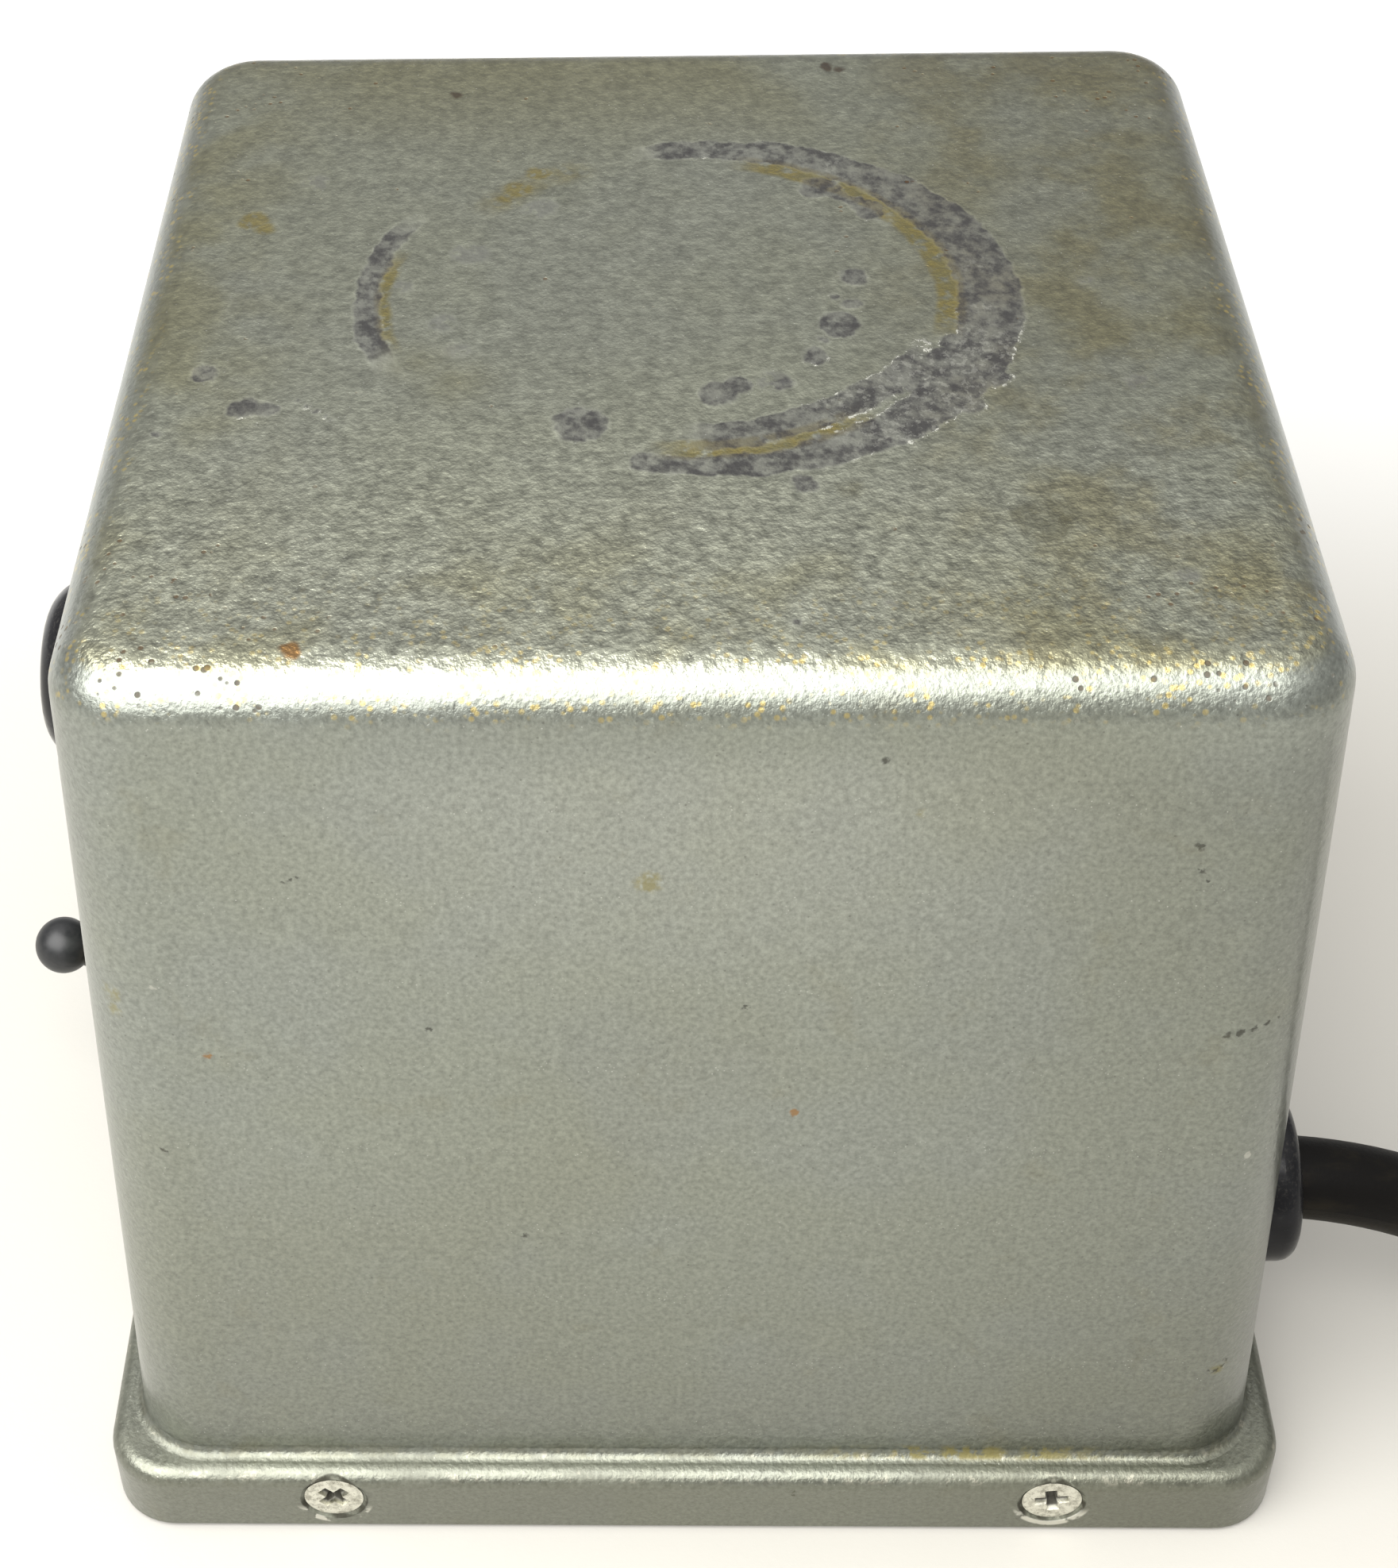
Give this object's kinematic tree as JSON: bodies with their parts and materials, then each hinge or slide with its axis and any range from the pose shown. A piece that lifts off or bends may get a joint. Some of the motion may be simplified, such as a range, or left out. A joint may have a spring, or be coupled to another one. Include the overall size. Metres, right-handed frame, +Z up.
{
  "type": "magnetic stirrer",
  "caption": "Square cast-metal laboratory magnetic stirrer with a flat top, a flanged foot, a speed knob, a ball-ended toggle switch and a rear cable.",
  "frame": {"origin": "middle of the underside, at the level of the feet's undersides", "axes": "+Z up; the knob and switch are on the -Y side, the cable leaves towards +Y"},
  "size_m": [0.133, 0.2728, 0.1218],
  "materials": {
    "hammer_paint": "hammer-finish silver grey enamel, worn",
    "cast_aluminium": "as cast, dull",
    "zinc_casting": "die-cast, dull",
    "nickel_screw": "nickel plate, tarnished",
    "plated_steel": "zinc plated",
    "bright_steel": "ground",
    "lamination_steel": "oxidised stampings",
    "foot_rubber": "moulded",
    "cable_rubber": "worn, slightly browned",
    "black_bakelite": "polished",
    "lever_black": "satin",
    "brown_bakelite": "moulded",
    "ceramic": "unglazed",
    "resistance_wire": "wound wire",
    "copper": "bare",
    "enamelled_copper": "enamelled, taped",
    "bronze": "sintered",
    "brass_nickel": "turned, nickel plated",
    "alnico": "ground",
    "nylon": "moulded",
    "wire_red": "insulation",
    "wire_black": "insulation",
    "wire_green": "insulation"
  },
  "bodies": {
    "base": {"base_plate": "cast_aluminium", "bearing_bushes": "bronze", "cable_gland": "black_bakelite", "coil_bobbin": "nylon", "coil_winding": "enamelled_copper", "cord_collar": "nylon", "earth_core": "wire_green", "earth_screw": "plated_steel", "earth_tag": "brass_nickel", "foot_nuts": "plated_steel", "foot_screws": "plated_steel", "gland_nut": "black_bakelite", "housing": "hammer_paint", "isolator_screws": "plated_steel", "isolator_washers": "plated_steel", "lever_pin": "bright_steel", "lip_screws": "nickel_screw", "live_core": "wire_red", "lower_bracket": "zinc_casting", "mains_cable": "cable_rubber", "motor_bolts": "plated_steel", "motor_nuts": "plated_steel", "motor_pillars": "bright_steel", "motor_plate": "plated_steel", "motor_spacers": "plated_steel", "neutral_core": "wire_black", "pillar_screws": "plated_steel", "resistance_winding": "resistance_wire", "rheostat_base": "ceramic", "rheostat_bushing": "brass_nickel", "rheostat_lead": "wire_black", "rheostat_nut": "brass_nickel", "rheostat_terminals": "brass_nickel", "rheostat_washer": "plated_steel", "rubber_feet": "foot_rubber", "rubber_isolators": "foot_rubber", "shading_rings": "copper", "stator_core": "lamination_steel", "stator_rivets": "bright_steel", "switch_body": "brown_bakelite", "switch_bushing": "brass_nickel", "switch_lead": "wire_red", "switch_nut": "brass_nickel", "switch_terminals": "brass_nickel", "switch_washer": "plated_steel", "upper_bracket": "zinc_casting"},
    "spinner": {"motor_shaft": "bright_steel", "rotor_core": "lamination_steel", "rotor_cage": "cast_aluminium", "shaft_collars": "nylon", "magnet_hub": "brass_nickel", "hub_set_screw": "bright_steel", "magnet_yoke": "plated_steel", "yoke_screws": "plated_steel", "drive_magnets": "alnico"},
    "knob": {"speed_knob": "black_bakelite", "knob_set_screw": "bright_steel", "rheostat_shaft": "bright_steel", "wiper_arm": "bronze"},
    "toggle": {"toggle_lever": "lever_black"}
  },
  "joints": [
    {"name": "motor_spin", "type": "hinge", "parent": "base", "child": "spinner", "pos_m": [0, 0, 0.074], "axis": [0, 0, 1], "continuous": true},
    {"name": "knob_turn", "type": "hinge", "parent": "base", "child": "knob", "pos_m": [0, -0.0609, 0.0725], "axis": [0, 0.9993, -0.0361], "range_deg": [-150, 150]},
    {"name": "toggle_tip", "type": "hinge", "parent": "base", "child": "toggle", "pos_m": [0, -0.06511, 0.01983], "axis": [1, 0, 0], "range_deg": [0, 50]}
  ]
}
